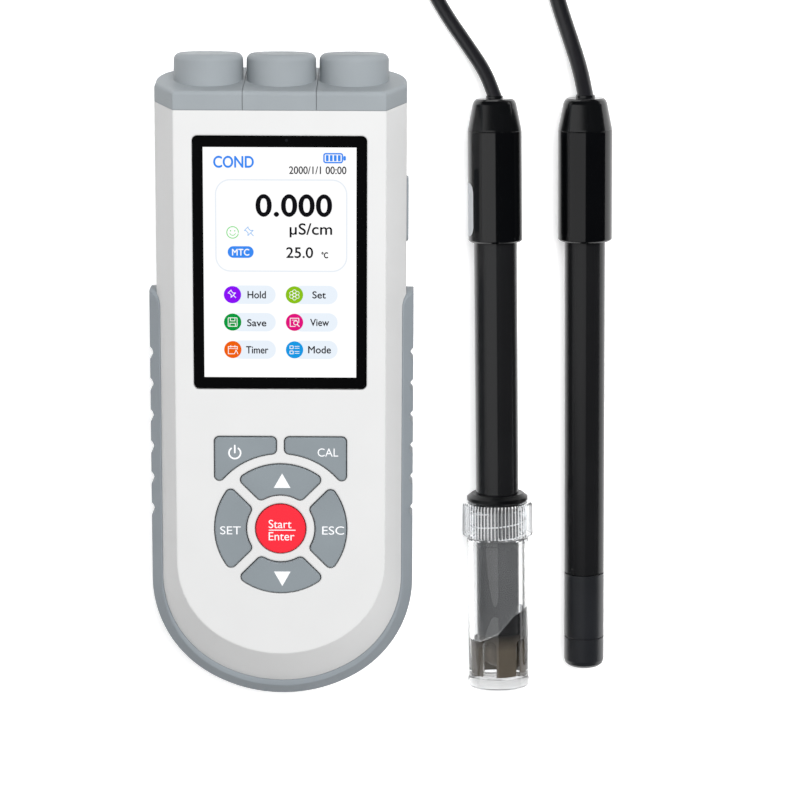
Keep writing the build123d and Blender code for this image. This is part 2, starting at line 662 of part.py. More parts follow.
def electrodes():
    bottle_rim = (STORE_CAP_Y[1] - 0.8, STORE_CAP_R)
    high_rim = (HANDLE_Y[1], HANDLE_R)
    lay_down({**ph_electrode(), **storage_bottle()}, PH_X, 0, PH_YAW, bottle_rim, high_rim)
    tip_rim = (DO_TIP + 2.2, DO_SHAFT_R)
    handle_rim = (HANDLE_Y[0] + 0.5, HANDLE_R)
    lay_down(oxygen_electrode(), DO_X, DO_Y, DO_YAW, tip_rim, handle_rim)
    lead("ph", PH_LEAD_D, PH_ROUTE, PH_COIL_AT, PH_COIL_RADII, PH_PLUG_AT, 90, coax_plug())
    lead("do", DO_LEAD_D, DO_ROUTE, DO_COIL_AT, DO_COIL_RADII, DO_PLUG_AT, -90, pin_plug())


meter()
electrodes()
os.makedirs("parts", exist_ok=True)
for name, solid in nodes.items():
    solid.label = name
    export_step(solid, f"parts/{name}.step")
print(len(nodes), "nodes")
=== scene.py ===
import json
from math import atan2, cos, hypot, pi, radians, sin

import bmesh
import bpy
from mathutils import Matrix, Vector


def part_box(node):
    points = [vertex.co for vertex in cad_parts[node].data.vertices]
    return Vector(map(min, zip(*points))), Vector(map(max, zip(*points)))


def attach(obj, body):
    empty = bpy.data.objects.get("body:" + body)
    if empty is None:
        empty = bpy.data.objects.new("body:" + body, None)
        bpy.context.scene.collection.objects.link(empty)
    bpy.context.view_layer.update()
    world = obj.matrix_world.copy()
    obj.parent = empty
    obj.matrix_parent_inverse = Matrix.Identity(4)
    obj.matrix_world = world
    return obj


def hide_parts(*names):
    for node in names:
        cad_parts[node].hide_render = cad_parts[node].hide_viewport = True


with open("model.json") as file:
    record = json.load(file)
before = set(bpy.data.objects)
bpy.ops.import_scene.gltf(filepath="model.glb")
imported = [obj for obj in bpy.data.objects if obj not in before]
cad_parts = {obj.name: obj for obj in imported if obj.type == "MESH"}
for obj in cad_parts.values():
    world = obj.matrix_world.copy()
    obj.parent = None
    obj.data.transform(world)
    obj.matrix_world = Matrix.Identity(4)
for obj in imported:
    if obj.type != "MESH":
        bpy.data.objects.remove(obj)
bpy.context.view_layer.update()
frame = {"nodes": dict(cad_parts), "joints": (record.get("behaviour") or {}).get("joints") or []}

MM = 0.001
nodes = frame["nodes"]
joints = {j["name"]: j for j in frame["joints"]}
bpy.context.scene.view_settings.view_transform = "Standard"


# ---------------------------------------------------------------- camera
camera_data = bpy.data.cameras.new("camera")
camera_data.lens = 126
camera_data.sensor_width = 36
camera = bpy.data.objects.new("camera", camera_data)
camera.location = (0.03425, 0.14870, 0.83434)
camera.rotation_euler = (radians(-10.5), 0, radians(0.25))
bpy.context.scene.collection.objects.link(camera)
bpy.context.scene.camera = camera


# ---------------------------------------------------------------- materials
def node_material(name):
    """A new material with its tree cleared down to the output, and a way to add nodes to it."""
    made = bpy.data.materials.new(name)
    made.use_nodes = True
    tree = made.node_tree
    tree.nodes.clear()
    out = tree.nodes.new("ShaderNodeOutputMaterial")

    def add(kind, **values):
        node = tree.nodes.new("ShaderNode" + kind)
        for key, value in values.items():
            if hasattr(node, key):
                setattr(node, key, value)
            else:
                node.inputs[key.replace("_", " ")].default_value = value
        return node

    return made, out, add, tree.links.new


def grain(add, link, scale, detail=3.0, stretch=None):
    """Noise in the object's own metres."""
    where = add("TexCoord")
    noise = add("TexNoise", Scale=scale, Detail=detail)
    source = where.outputs["Object"]
    if stretch:
        squeeze = add("Mapping")
        squeeze.inputs["Scale"].default_value = stretch
        link(source, squeeze.inputs["Vector"])
        source = squeeze.outputs["Vector"]
    link(source, noise.inputs["Vector"])
    return noise.outputs["Fac"]


def tint(add, link, fac, dark, light):
    """A colour between dark and light, picked by fac's middle range."""
    ramp = add("ValToRGB")
    ramp.color_ramp.elements[0].position = 0.3
    ramp.color_ramp.elements[1].position = 0.7
    ramp.color_ramp.elements[0].color = (*dark, 1)
    ramp.color_ramp.elements[1].color = (*light, 1)
    link(fac, ramp.inputs["Fac"])
    return ramp.outputs["Color"]


def surface(name, colour, rough, mottle=0.04, mottle_scale=60, grain_scale=2500, grain_depth=0.02,
            edge=0.0, metallic=0.0, specular=0.5, stretch=None, below=None):
    """Moulded plastic, rubber or metal: uneven tone, uneven gloss, a fine grain and softened edges."""
    made, out, add, link = node_material(name)
    shade = add("BsdfPrincipled", Metallic=metallic)
    shade.inputs["Specular IOR Level"].default_value = specular
    patches = grain(add, link, mottle_scale, 4.0, stretch)
    dark = [c * (1 - mottle) for c in colour]
    light = [min(1, c * (1 + mottle)) for c in colour]
    paint = tint(add, link, patches, dark, light)
    if below:
        start, end, other = below
        where = add("TexCoord")
        split = add("SeparateXYZ")
        link(where.outputs["Object"], split.inputs["Vector"])
        fade = add("MapRange")
        fade.inputs["From Min"].default_value = start
        fade.inputs["From Max"].default_value = end
        link(split.outputs["Y"], fade.inputs["Value"])
        blend = add("Mix", data_type="RGBA")
        link(fade.outputs["Result"], blend.inputs["Factor"])
        link(paint, blend.inputs["A"])
        blend.inputs["B"].default_value = (*other, 1)
        paint = blend.outputs["Result"]
    link(paint, shade.inputs["Base Color"])
    gloss = add("MapRange")
    gloss.inputs["To Min"].default_value = rough * 0.88
    gloss.inputs["To Max"].default_value = min(1, rough * 1.12)
    link(patches, gloss.inputs["Value"])
    link(gloss.outputs["Result"], shade.inputs["Roughness"])
    bump = add("Bump", Strength=grain_depth * 10)
    bump.inputs["Distance"].default_value = 0.00002
    link(grain(add, link, grain_scale, 2.0, stretch), bump.inputs["Height"])
    if edge:
        soft = add("Bevel", samples=6)
        soft.inputs["Radius"].default_value = edge
        link(soft.outputs["Normal"], bump.inputs["Normal"])
    link(bump.outputs["Normal"], shade.inputs["Normal"])
    link(shade.outputs["BSDF"], out.inputs["Surface"])
    return made


def glowing(name, colour, strength=1.0, uneven=0.01):
    """One colour of the lit display; the backlight is a little uneven."""
    made, out, add, link = node_material(name)
    light = add("Emission", Strength=strength)
    dark = [c * (1 - uneven) for c in colour]
    link(tint(add, link, grain(add, link, 40), dark, colour), light.inputs["Color"])
    link(light.outputs["Emission"], out.inputs["Surface"])
    return made


def window(name, gloss=0.6):
    """Flat glass with an anti-glare coat: clear from the front, with reflections at a slant."""
    made, out, add, link = node_material(name)
    clear = add("BsdfTransparent")
    shine = add("BsdfGlossy", Roughness=0.04)
    smudge = add("Bump", Strength=0.05)
    smudge.inputs["Distance"].default_value = 0.0001
    link(grain(add, link, 90), smudge.inputs["Height"])
    link(smudge.outputs["Normal"], shine.inputs["Normal"])
    edge = add("Fresnel", IOR=1.45)
    amount = add("MapRange")
    amount.inputs["From Min"].default_value = 0.06
    amount.inputs["To Max"].default_value = gloss
    link(edge.outputs["Fac"], amount.inputs["Value"])
    mix = add("MixShader")
    link(amount.outputs["Result"], mix.inputs["Fac"])
    link(clear.outputs["BSDF"], mix.inputs[1])
    link(shine.outputs["BSDF"], mix.inputs[2])
    link(mix.outputs["Shader"], out.inputs["Surface"])
    return made


def clear_solid(name, ior, colour=(1, 1, 1), veil=0.0, veil_colour=(0.9, 0.92, 0.94)):
    """A refracting surface; light passes it straight in shadow, and a veil of haze may lie on it."""
    made, out, add, link = node_material(name)
    body = add("BsdfGlass", Color=(*colour, 1), Roughness=0.0, IOR=ior)
    last = body.outputs["BSDF"]
    if veil:
        haze = add("BsdfDiffuse", Color=(*veil_colour, 1))
        patches = add("MapRange")
        patches.inputs["To Min"].default_value = veil * 0.85
        patches.inputs["To Max"].default_value = veil * 1.15
        link(grain(add, link, 120), patches.inputs["Value"])
        hazed = add("MixShader")
        link(patches.outputs["Result"], hazed.inputs["Fac"])
        link(last, hazed.inputs[1])
        link(haze.outputs["BSDF"], hazed.inputs[2])
        last = hazed.outputs["Shader"]
    ray = add("LightPath")
    through = add("BsdfTransparent", Color=(0.93, 0.94, 0.95, 1))
    mix = add("MixShader")
    link(ray.outputs["Is Shadow Ray"], mix.inputs["Fac"])
    link(last, mix.inputs[1])
    link(through.outputs["BSDF"], mix.inputs[2])
    link(mix.outputs["Shader"], out.inputs["Surface"])
    return made


def thin_clear(name, veil, colour=(0.9, 0.92, 0.94), through=(0.95, 0.96, 0.97), gloss=1.0):
    """Clear plastic that isn't thick enough to bend light much: see-through, hazy and shiny; a thick
    near-white veil also serves as a painted highlight.
    """
    made, out, add, link = node_material(name)
    clear = add("BsdfTransparent", Color=(*through, 1))
    haze = add("BsdfDiffuse", Color=(*colour, 1))
    patches = add("MapRange")
    patches.inputs["To Min"].default_value = veil * 0.8
    patches.inputs["To Max"].default_value = min(1, veil * 1.2)
    link(grain(add, link, 300), patches.inputs["Value"])
    hazed = add("MixShader")
    link(patches.outputs["Result"], hazed.inputs["Fac"])
    link(clear.outputs["BSDF"], hazed.inputs[1])
    link(haze.outputs["BSDF"], hazed.inputs[2])
    shine = add("BsdfGlossy", Roughness=0.08)
    edge = add("Fresnel", IOR=1.45)
    amount = add("Math", operation="MULTIPLY")
    amount.inputs[1].default_value = gloss
    link(edge.outputs["Fac"], amount.inputs[0])
    mix = add("MixShader")
    link(amount.outputs["Value"], mix.inputs["Fac"])
    link(hazed.outputs["Shader"], mix.inputs[1])
    link(shine.outputs["BSDF"], mix.inputs[2])
    link(mix.outputs["Shader"], out.inputs["Surface"])
    return made


SHELL = surface("shell_white", (0.622, 0.624, 0.624), 0.5, mottle=0.012, edge=0.0008, specular=0.3)
BUMPER = surface("bumper_rubber", (0.235, 0.262, 0.285), 0.62, edge=0.0006, grain_depth=0.05)
CAP = surface("cap_rubber", (0.272, 0.298, 0.316), 0.58, edge=0.0005, grain_depth=0.05)
KEY = surface("key_rubber", (0.215, 0.245, 0.265), 0.55, edge=0.0004, grain_depth=0.04)
RED = surface("key_red", (0.80, 0.018, 0.036), 0.45, edge=0.0004, mottle=0.03, specular=0.3)
LEGEND = surface("legend_paint", (0.80, 0.81, 0.83), 0.5, mottle=0.02)
BLACK_GLASS = surface("lens_border", (0.0018, 0.0018, 0.002), 0.25, specular=0.02)
DARK_RUBBER = surface("seal_rubber", (0.012, 0.012, 0.013), 0.7)
STEEL = surface("screw_steel", (0.55, 0.56, 0.57), 0.28, metallic=1.0, edge=0.0001, mottle=0.06)
NICKEL = surface("nickel", (0.62, 0.60, 0.56), 0.22, metallic=1.0, edge=0.0002, mottle=0.05)
BOARD = surface("circuit_board", (0.02, 0.16, 0.06), 0.4, mottle=0.25, mottle_scale=400)
CELL = surface("cell_sleeve", (0.05, 0.055, 0.07), 0.3, metallic=0.4)
PANEL = surface("socket_panel", (0.10, 0.105, 0.11), 0.5)
PROBE = surface("probe_black", (0.0022, 0.0024, 0.0029), 0.10, mottle=0.1, grain_depth=0.004, edge=0.0003)
OXYGEN_PROBE = surface("oxygen_probe_black", (0.0022, 0.0024, 0.0029), 0.10, mottle=0.1, grain_depth=0.004,
                       edge=0.0003, specular=0.36)
PROBE_CAP = surface("probe_end_cap", (0.0034, 0.0037, 0.0042), 0.16, mottle=0.1, grain_depth=0.01,
                    edge=0.0003)
SHAFT = surface("probe_shaft", (0.0088, 0.0090, 0.0098), 0.22, mottle=0.08, grain_depth=0.006, specular=0.3)
PH_SHAFT = surface("bulb_shaft", (0.0088, 0.0090, 0.0098), 0.22, mottle=0.08, grain_depth=0.006,
                   specular=0.4, below=(-0.0745, -0.0795, (0.085, 0.070, 0.052)))
SLEEVE = surface("membrane_cap", (0.0135, 0.0145, 0.0170), 0.34, mottle=0.1, grain_depth=0.02, edge=0.0002)
STEM = surface("inner_stem", (0.02, 0.02, 0.022), 0.3)
CERAMIC = surface("junction", (0.45, 0.43, 0.40), 0.7)
RING = surface("ring_rubber", (0.0024, 0.0026, 0.0030), 0.34, grain_depth=0.02, specular=0.3)
LEAD = surface("lead_sheath", (0.0085, 0.0085, 0.0105), 0.36, mottle=0.12, mottle_scale=300,
               stretch=(1, 0.2, 1), grain_depth=0.04)
PAPER = surface("blank_label", (0.60, 0.62, 0.65), 0.45, mottle=0.02)
GLASS_BULB = clear_solid("bulb_glass", 1.12, (0.9, 0.93, 0.94), veil=0.3, veil_colour=(0.32, 0.27, 0.22))
LENS = window("display_window")
SCREEN = glowing("screen_white", (1.0, 1.0, 1.0), 1.02, 0.005)

for name, made in {
    "front_shell": SHELL, "rear_shell": SHELL, "battery_door": SHELL, "shell_seal": DARK_RUBBER,
    "bumper": BUMPER, "port_cover": BUMPER, "case_screws": STEEL, "door_screws": STEEL,
    "display_lens": LENS, "display_module": SCREEN, "keypad_mat": DARK_RUBBER,
    "main_board": BOARD, "charging_port": STEEL, "battery_1": CELL, "battery_2": CELL,
    "battery_3": CELL, "battery_contacts": STEEL, "socket_panel": PANEL, "socket_ph": NICKEL,
    "socket_orp": NICKEL, "socket_oxygen": NICKEL, "socket_contacts": NICKEL, "door_seal": DARK_RUBBER,
    "key_power": KEY, "key_cal": KEY, "key_up": KEY, "key_down": KEY, "key_set": KEY,
    "key_escape": KEY, "key_start": RED, "cap_left": CAP, "cap_middle": CAP, "cap_right": CAP,
    "ph_handle": PROBE, "ph_shaft": PH_SHAFT, "ph_end_cap": PROBE_CAP, "ph_glass": GLASS_BULB,
    "ph_junction": CERAMIC, "ph_ring": RING, "ph_plug": DARK_RUBBER, "ph_plug_ring": NICKEL,
    "do_handle": OXYGEN_PROBE, "do_shaft": SHAFT, "do_end_cap": PROBE_CAP, "do_stem": STEM,
    "do_sleeve": SLEEVE, "do_membrane_tip": SLEEVE, "do_plug": DARK_RUBBER,
    "do_plug_ring": NICKEL,
}.items():
    for material_slot in nodes[name].material_slots:
        material_slot.material = made


# ---------------------------------------------------------------- leads
def piece(name, data, body, material_slot, *materials):
    """An object made from data, riding on a body, with its materials; material_slot, the record's slot, is
    not used.
    """
    made = bpy.data.objects.new(name, data)
    bpy.context.scene.collection.objects.link(made)
    for material in materials:
        data.materials.append(material)
    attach(made, body)
    return made


LAYER_TURNS = 4
IN_GLAND = 2.5
TIE_WIDTH = 7.0
TIE_THICK = 0.6
STRAP = surface("tie_fabric", (0.02, 0.02, 0.022), 0.8, grain_depth=0.1, grain_scale=900)


def wound(turns, inner, diameter):
    """How far from the middle and how high a coiled lead is after so many turns: the first layer
    is wound from the outside in, the second on top of it from the inside out."""
    whole = int(turns)
    step = min(1.0, max(0.0, (turns - whole - 0.75) * 4))
    step = step * step * (3 - 2 * step)
    if whole < LAYER_TURNS - 1:
        return inner + (LAYER_TURNS - 1 - whole - step) * diameter, 0.5 * diameter
    if whole == LAYER_TURNS - 1:
        return inner - 0.4 * diameter * sin(pi * step), (0.5 + step) * diameter
    return inner + (whole - LAYER_TURNS + step) * diameter, 1.5 * diameter


def tie(name, diameter, middle, inner, angle):
    """A strap over the coil that holds its turns together."""
    outer = inner + (LAYER_TURNS - 1) * diameter
    centre = Vector(((inner + outer) / 2, diameter))
    near, far, top = inner - 0.6 * diameter, outer + 0.6 * diameter, 2.08 * diameter
    path = [Vector(p) for p in ((near, 0.2), (near, 0.85 * top), (inner - 0.2 * diameter, top),
                                (outer - 0.7 * diameter, top), (far, 1.1 * diameter), (far, 0.2))]
    along = Vector((-sin(angle), cos(angle), 0))
    made = bmesh.new()
    loops = []
    for side, thick in ((-1, 0), (-1, TIE_THICK), (1, TIE_THICK), (1, 0)):
        loop = []
        for p in path:
            r, z = p + (p - centre).normalized() * thick
            spot = Vector((middle[0] + r * cos(angle), middle[1] + r * sin(angle), max(0.2, z)))
            loop.append(made.verts.new((spot + along * side * TIE_WIDTH / 2) * MM))
        loops.append(loop)
    for one, other in zip(loops, loops[1:] + loops[:1]):
        for k in range(len(path) - 1):
            made.faces.new((one[k], one[k + 1], other[k + 1], other[k]))
    for k in (0, -1):
        made.faces.new([loop[k] for loop in loops])
    bmesh.ops.recalc_face_normals(made, faces=made.faces)
    mesh = bpy.data.meshes.new(f"{name}_tie")
    made.to_mesh(mesh)
    made.free()
    return piece(f"{name}_tie", mesh, f"{name}_electrode", "lead_grey", STRAP)


def lead(name, diameter, route, middle, inner, start, sense, plug_at, tie_angle):
    """A lead from its electrode along its route, round its coil and on to its plug."""
    points = [Vector(p) for p in route]
    points.insert(0, points[0] - (points[1] - points[0]).normalized() * IN_GLAND)
    per_turn = 16
    steps = int(7.25 * per_turn)
    for i in range(1, steps + 1):
        turns = i / per_turn
        r, z = wound(turns, inner, diameter)
        angle = start + sense * 2 * pi * turns
        points.append(Vector((middle[0] + r * cos(angle), middle[1] + r * sin(angle), z)))
    leaves = points[-1]
    plug = Vector(plug_at)
    points.append(Vector(((leaves.x + plug.x) / 2, leaves.y + 0.2, leaves.z + 0.2)))
    points.append(plug)
    curve = bpy.data.curves.new(f"{name}_cord", "CURVE")
    curve.dimensions = "3D"
    curve.bevel_depth = diameter / 2 * MM
    curve.bevel_resolution = 8
    curve.resolution_u = 6
    curve.use_fill_caps = True
    spline = curve.splines.new("NURBS")
    spline.points.add(len(points) - 1)
    for spot, p in zip(spline.points, points):
        spot.co = (*(p * MM), 1)
    spline.order_u = 3
    spline.use_endpoint_u = True
    cord = piece(f"{name}_cord", curve, f"{name}_electrode", "lead_grey", LEAD)
    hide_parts(f"{name}_lead", f"{name}_coil", f"{name}_tail")
    tie(name, diameter, middle, inner, radians(tie_angle))


lead("ph", 4.1,
     [(62.29, 86.72, 7.82), (59.6, 93.6, 5.9), (54.2, 101.4, 3.3), (47.6, 110.6, 2.1),
      (41.6, 121.6, 2.5), (38.4, 134.6, 2.1), (37.6, 148.5, 2.05)],
     (10.8, 150.0), 14.5, 0.0, 1, (-8.0, 176.8, 7.2), 225)
lead("do", 4.7,
     [(88.99, 87.16, 8.72), (87.6, 94.2, 6.1), (85.0, 102.3, 3.4), (81.7, 111.6, 2.4),
      (78.4, 122.4, 2.9), (76.0, 135.8, 2.4), (75.2, 150.0, 2.35)],
     (105.8, 151.5), 16.5, pi, -1, (124.6, 182.1, 7.6), 315)


# ---------------------------------------------------------------- flat shapes
def disc(x, y, r, count=48):
    return [(x + r * cos(2 * pi * i / count), y + r * sin(2 * pi * i / count)) for i in range(count)]


def rounded(x0, y0, x1, y1, r, count=10):
    """A rectangle with round corners."""
    points = []
    corners = ((x1 - r, y1 - r, 0), (x0 + r, y1 - r, 90), (x0 + r, y0 + r, 180), (x1 - r, y0 + r, 270))
    for cx, cy, first in corners:
        for i in range(count + 1):
            a = radians(first + 90 * i / count)
            points.append((cx + r * cos(a), cy + r * sin(a)))
    return points


def stroke(points, width, closed=False):
    """A line of that width through the points, as separate quads and round joints."""
    shapes = []
    pairs = list(zip(points, points[1:] + points[:1] if closed else points[1:]))
    for (x0, y0), (x1, y1) in pairs:
        long = hypot(x1 - x0, y1 - y0)
        if long < 1e-9:
            continue
        nx, ny = -(y1 - y0) / long * width / 2, (x1 - x0) / long * width / 2
        shapes.append([(x0 + nx, y0 + ny), (x0 - nx, y0 - ny), (x1 - nx, y1 - ny), (x1 + nx, y1 + ny)])
    return shapes + [disc(x, y, width / 2, 12) for x, y in points]


def arc(x, y, r, start, end, count=24):
    return [(x + r * cos(radians(start + (end - start) * i / count)),
             y + r * sin(radians(start + (end - start) * i / count))) for i in range(count + 1)]


def turn(shapes, x, y, degrees):
    c, s = cos(radians(degrees)), sin(radians(degrees))
    return [[(x + c * (px - x) - s * (py - y), y + s * (px - x) + c * (py - y)) for px, py in shape]
            for shape in shapes]


def sheet_mesh(name, shapes, z):
    """Faces from outlines in millimetres, facing up, at height z in metres."""
    mesh = bpy.data.meshes.new(name)
    made = bmesh.new()
    for shape in shapes:
        face = made.faces.new([made.verts.new((x * MM, y * MM, z)) for x, y in shape])
        face.normal_update()
        if face.normal.z < 0:
            face.normal_flip()
    made.to_mesh(mesh)
    made.free()
    return mesh


def lettering(name, text, box, z, weight=0.0, spacing=1.0):
    """A word as a mesh that fills the box (x0, y0, x1, y1) in millimetres; weight thickens it."""
    font = bpy.data.curves.new(name, "FONT")
    font.body = text
    font.space_character = spacing
    font.resolution_u = 6
    holder = bpy.data.objects.new(name, font)
    bpy.context.scene.collection.objects.link(holder)
    bpy.context.view_layer.update()
    word = bpy.data.meshes.new_from_object(holder)
    bpy.data.objects.remove(holder)
    xs = [v.co.x for v in word.vertices]
    ys = [v.co.y for v in word.vertices]
    x0, y0, x1, y1 = box
    sx = (x1 - x0 - 2 * weight) / (max(xs) - min(xs))
    sy = (y1 - y0 - 2 * weight) / (max(ys) - min(ys))
    copies = [(0, 0), (weight, 0), (0, weight), (-weight, 0), (0, -weight)] if weight else [(0, 0)]
    whole = bmesh.new()
    for dx, dy in copies:
        copy = word.copy()
        for v in copy.vertices:
            v.co = ((x0 + weight + dx + sx * (v.co.x - min(xs))) * MM,
                    (y0 + weight + dy + sy * (v.co.y - min(ys))) * MM, z)
        whole.from_mesh(copy)
        bpy.data.meshes.remove(copy)
    mesh = bpy.data.meshes.new(name)
    whole.to_mesh(mesh)
    whole.free()
    bpy.data.meshes.remove(word)
    return mesh


def joined(name, meshes):
    """One mesh from several."""
    made = bmesh.new()
    for mesh in meshes:
        made.from_mesh(mesh)
        bpy.data.meshes.remove(mesh)
    whole = bpy.data.meshes.new(name)
    made.to_mesh(whole)
    made.free()
    return whole


# ---------------------------------------------------------------- display
SCREEN_X = 22.1
SCREEN_Y = (6.35, 73.4)
lens_low, lens_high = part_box("display_lens")
BACK_OF_LENS = lens_low.z
LEVEL = [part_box("display_module")[1].z + 0.00001 * i for i in range(1, 5)]

BLUE = glowing("screen_blue", (0.045, 0.26, 0.90))
INK = glowing("screen_ink", (0.006, 0.006, 0.008))
GREY = glowing("screen_grey", (0.022, 0.022, 0.026))
PALE = glowing("screen_pale", (0.83, 0.90, 0.98))
LINE = glowing("screen_line", (0.82, 0.87, 0.93))
WHITE = glowing("screen_icon_white", (1.0, 1.0, 1.0))
GREEN = glowing("screen_green", (0.20, 0.72, 0.20))
SKY = glowing("screen_sky", (0.28, 0.52, 0.90))


def on_screen(name, shapes, level, material):
    return piece(name, sheet_mesh(name, shapes, LEVEL[level]), "meter", "display", material)


def words(name, texts, level, material, weight=0.0, spacing=1.0):
    """Words, each (text, box), as one piece."""
    parts = [lettering(f"{name}_{i}", text, box, LEVEL[level], weight, spacing)
             for i, (text, box) in enumerate(texts)]
    return piece(name, joined(name, parts), "meter", "display", material)


def frame_shapes(outer, inner):
    """The space between two outlines with the same number of points."""
    count = len(outer)
    return [[outer[i], outer[(i + 1) % count], inner[(i + 1) % count], inner[i]] for i in range(count)]


border = frame_shapes(rounded(lens_low.x / MM, lens_low.y / MM, lens_high.x / MM, lens_high.y / MM, 1.6),
                      rounded(-SCREEN_X, SCREEN_Y[0], SCREEN_X, SCREEN_Y[1], 0.05))
piece("lens_border", sheet_mesh("lens_border", border, BACK_OF_LENS + 0.00003), "meter", "lens",
      BLACK_GLASS)
sensor = sheet_mesh("light_sensor", [disc(2.0, 75.4, 0.42)], BACK_OF_LENS + 0.00005)
piece("light_sensor", sensor, "meter", "lens", surface("sensor", (0.009, 0.010, 0.012), 0.2, specular=0.02))

words("screen_title", [("COND", (-19.1, 67.4, -7.4, 70.9))], 1, BLUE, 0.1)
battery = stroke(rounded(12.75, 69.05, 18.05, 71.6, 0.5, 4), 0.42, True)
battery += [rounded(18.3, 69.65, 19.05, 70.95, 0.3, 4)]
battery += [rounded(x, 69.45, x + 0.78, 71.2, 0.12, 3) for x in (13.3, 14.45, 15.6, 16.75)]
on_screen("screen_battery", battery, 1, BLUE)
words("screen_clock", [("2000/1/1 00:00", (2.7, 65.7, 19.2, 67.95))], 1, GREY, 0.04)
card = rounded(-18.5, 37.5, 19.3, 64.0, 4.2, 12)
on_screen("screen_card", stroke(card, 0.38, True), 0, LINE)
words("screen_value", [("0.000", (-7.0, 53.3, 15.1, 59.9))], 1, INK, 0.22, 1.04)
words("screen_unit", [("µS/cm", (2.8, 47.35, 15.1, 51.5)), ("25.0", (1.8, 41.35, 9.6, 44.55))],
      1, INK, 0.06)
words("screen_degree", [("°C", (12.0, 41.3, 13.95, 43.2))], 1, INK, 0.08)
smile = stroke(arc(-13.64, 48.75, 1.68, 0, 345), 0.26)
smile += stroke(arc(-13.64, 48.75, 0.85, 200, 340, 10), 0.2)
smile += [disc(x, 49.2, 0.2, 12) for x in (-14.25, -13.03)]
on_screen("screen_smile", smile, 1, GREEN)


def pin_icon(x, y, size, width):
    """A drawing pin, leaning."""
    outline = [(-0.55, 1.0), (0.55, 1.0), (0.35, 0.75), (0.35, 0.1), (0.8, -0.3), (-0.8, -0.3),
               (-0.35, 0.1), (-0.35, 0.75)]
    shapes = stroke([(x + px * size, y + py * size) for px, py in outline], width, True)
    shapes += stroke([(x, y - 0.3 * size), (x, y - 1.15 * size)], width)
    return turn(shapes, x, y, 45)


on_screen("screen_pin", pin_icon(-8.75, 48.9, 1.35, 0.22), 1, SKY)
on_screen("screen_mode_pill", [rounded(-15.1, 41.35, -7.6, 44.75, 1.65, 12)], 1, BLUE)
words("screen_mode", [("MTC", (-13.85, 42.0, -8.85, 44.0))], 2, WHITE, 0.05, 1.05)

COLUMNS = (-13.8, 4.16)
ROWS = (30.6, 22.56, 14.46)
ICON_R = 2.52
COLOURS = {
    (0, 0): (0.26, 0.006, 0.91), (1, 0): (0.26, 0.54, 0.010),
    (0, 1): (0.004, 0.32, 0.05), (1, 1): (0.76, 0.007, 0.21),
    (0, 2): (0.87, 0.12, 0.004), (1, 2): (0.010, 0.32, 0.78),
}


def lines(x, y, *paths):
    """Strokes about (x, y); each path is its width and its points."""
    shapes = []
    for width, *points in paths:
        shapes += stroke([(x + px, y + py) for px, py in points], width)
    return shapes


THIN = 0.2


def icon(column, row, x, y):
    """The white drawing on a menu button: pin, gear, disk, search, timer or list."""
    if (column, row) == (0, 0):
        return pin_icon(x, y + 0.1, 1.15, THIN)
    if (column, row) == (1, 0):
        shapes = stroke(arc(x, y, 0.5, 0, 345, 16), THIN)
        for i in range(6):
            a = radians(60 * i + 30)
            shapes += stroke(arc(x + 1.0 * cos(a), y + 1.0 * sin(a), 0.52, 0, 345, 14), 0.15)
        return shapes
    if (column, row) == (0, 1):
        shapes = stroke(rounded(x - 1.3, y - 1.25, x + 1.3, y + 1.25, 0.25, 3), THIN, True)
        return shapes + lines(x, y, (THIN, (-0.65, 1.2), (-0.65, 0.35), (0.65, 0.35), (0.65, 1.2)),
                              (THIN, (-0.8, -1.2), (-0.8, -0.35), (0.8, -0.35), (0.8, -1.2)))
    if (column, row) == (1, 1):
        shapes = lines(x, y, (THIN, (1.25, -0.1), (1.25, 1.2), (-1.25, 1.2), (-1.25, -1.2), (0.2, -1.2)))
        shapes += stroke(arc(x + 0.35, y - 0.15, 0.6, 0, 345, 14), THIN)
        return shapes + lines(x, y, (0.26, (0.8, -0.6), (1.35, -1.2)), (0.15, (-0.7, 0.65), (0.7, 0.65)))
    if (column, row) == (0, 2):
        return lines(x, y, (THIN, (-1.3, 0.9), (1.3, 0.9), (1.3, 0.1)),
                     (THIN, (-1.3, 0.9), (-1.3, -1.25), (0.2, -1.25)), (0.15, (-1.3, 0.3), (1.2, 0.3)),
                     (THIN, (-0.6, 1.2), (-0.6, 0.7)), (THIN, (0.6, 1.2), (0.6, 0.7)),
                     (THIN, (0.45, -1.25), (0.95, -0.1), (1.45, -1.25)))
    shapes = []
    for dy in (0.75, -0.75):
        shapes += stroke(rounded(x - 1.35, y + dy - 0.42, x - 0.4, y + dy + 0.42, 0.12, 3), THIN, True)
        shapes += lines(x, y + dy, (0.16, (0.1, 0.28), (1.35, 0.28)), (0.16, (0.1, -0.28), (1.35, -0.28)))
    return shapes


pills, glyphs = [], []
for (column, row), colour in COLOURS.items():
    x, y = COLUMNS[column], ROWS[row]
    pills.append(rounded(x - 0.5, y - 2.7, x + 12.5, y + 2.7, 2.65, 12))
    on_screen(f"screen_icon_{column}{row}", [disc(x, y, ICON_R)], 1, glowing(f"icon_{column}{row}", colour))
    glyphs += icon(column, row, x, y)
on_screen("screen_pills", pills, 0, PALE)
on_screen("screen_glyphs", glyphs, 2, WHITE)
words("screen_labels", [
    ("Hold", (-9.45, 29.5, -4.1, 31.7)), ("Set", (9.35, 29.55, 13.3, 31.7)),
    ("Save", (-9.6, 21.3, -4.0, 23.45)), ("View", (8.7, 21.45, 14.2, 23.6)),
    ("Timer", (-9.95, 13.3, -3.45, 15.5)), ("Mode", (8.1, 13.4, 14.75, 15.6)),
], 1, GREY, 0.05)


# ---------------------------------------------------------------- key legends
def legend(key, name, mesh):
    piece(name, mesh, key, "key_grey", LEGEND)


